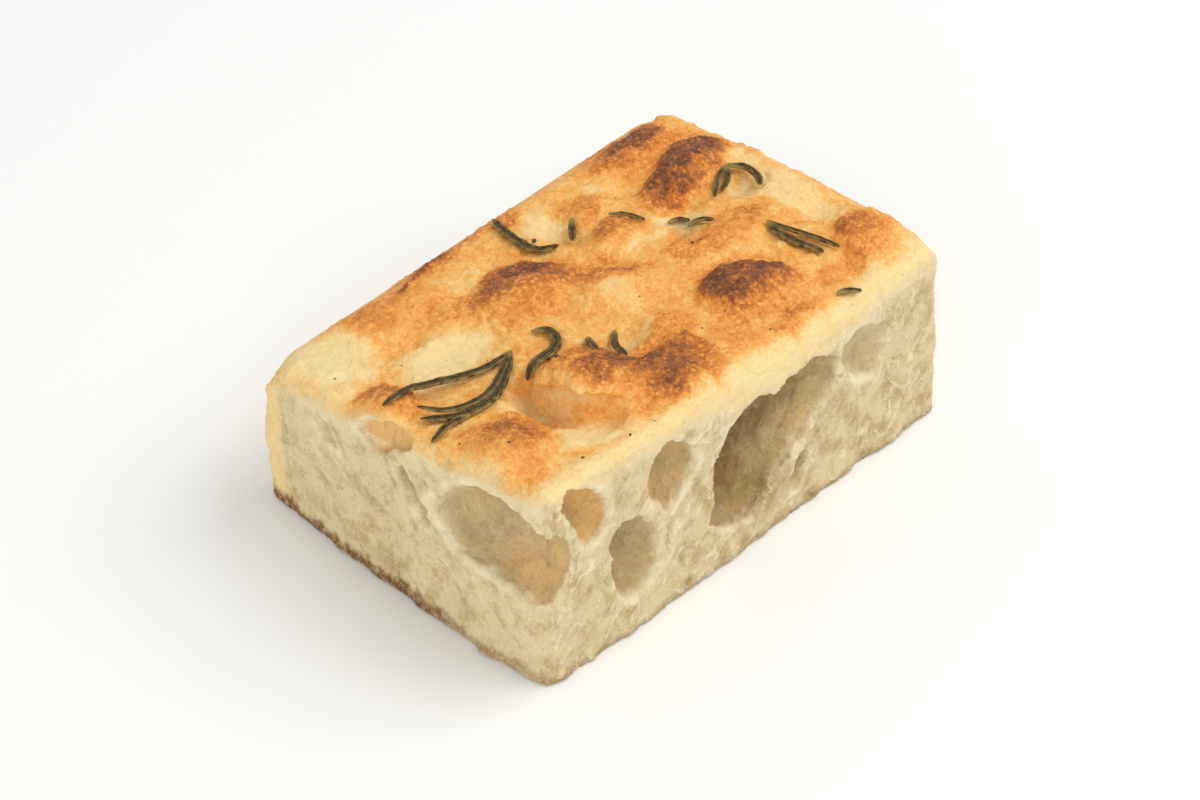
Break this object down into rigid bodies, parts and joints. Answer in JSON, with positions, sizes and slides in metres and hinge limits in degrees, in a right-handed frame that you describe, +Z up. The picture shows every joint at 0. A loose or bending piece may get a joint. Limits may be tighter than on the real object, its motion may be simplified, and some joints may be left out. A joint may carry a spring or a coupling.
{
  "type": "rosemary focaccia",
  "caption": "Thick slice from the corner of a tray-baked flat bread, with a blistered brown crust, open crumb on two cut sides, and rosemary leaves on top.",
  "frame": {"origin": "middle of the underside, at the centre of the bounding box in plan", "axes": "+X along the slice's long side, away from the short cut side; +Y away from the long cut side; +Z up through the crust"},
  "size_m": [0.1246, 0.088, 0.0508],
  "materials": {
    "bread": "stands in for baked bread: oily blistered crust on top, pale spongy crumb on the cut sides",
    "rosemary": "stands in for roasted rosemary needles, dry and dark olive brown"
  },
  "bodies": {
    "root": {"focaccia": "bread", "sprig_front": "rosemary", "leaf_twisted": "rosemary", "leaf_tucked_short": "rosemary", "leaf_tucked_long": "rosemary", "leaf_tray_side": "rosemary", "leaf_straight": "rosemary", "leaf_thin": "rosemary", "leaf_pit_upper": "rosemary", "leaf_pit_lower": "rosemary", "sprig_back": "rosemary", "sprig_end": "rosemary", "leaf_cut_edge": "rosemary"}
  },
  "joints": []
}
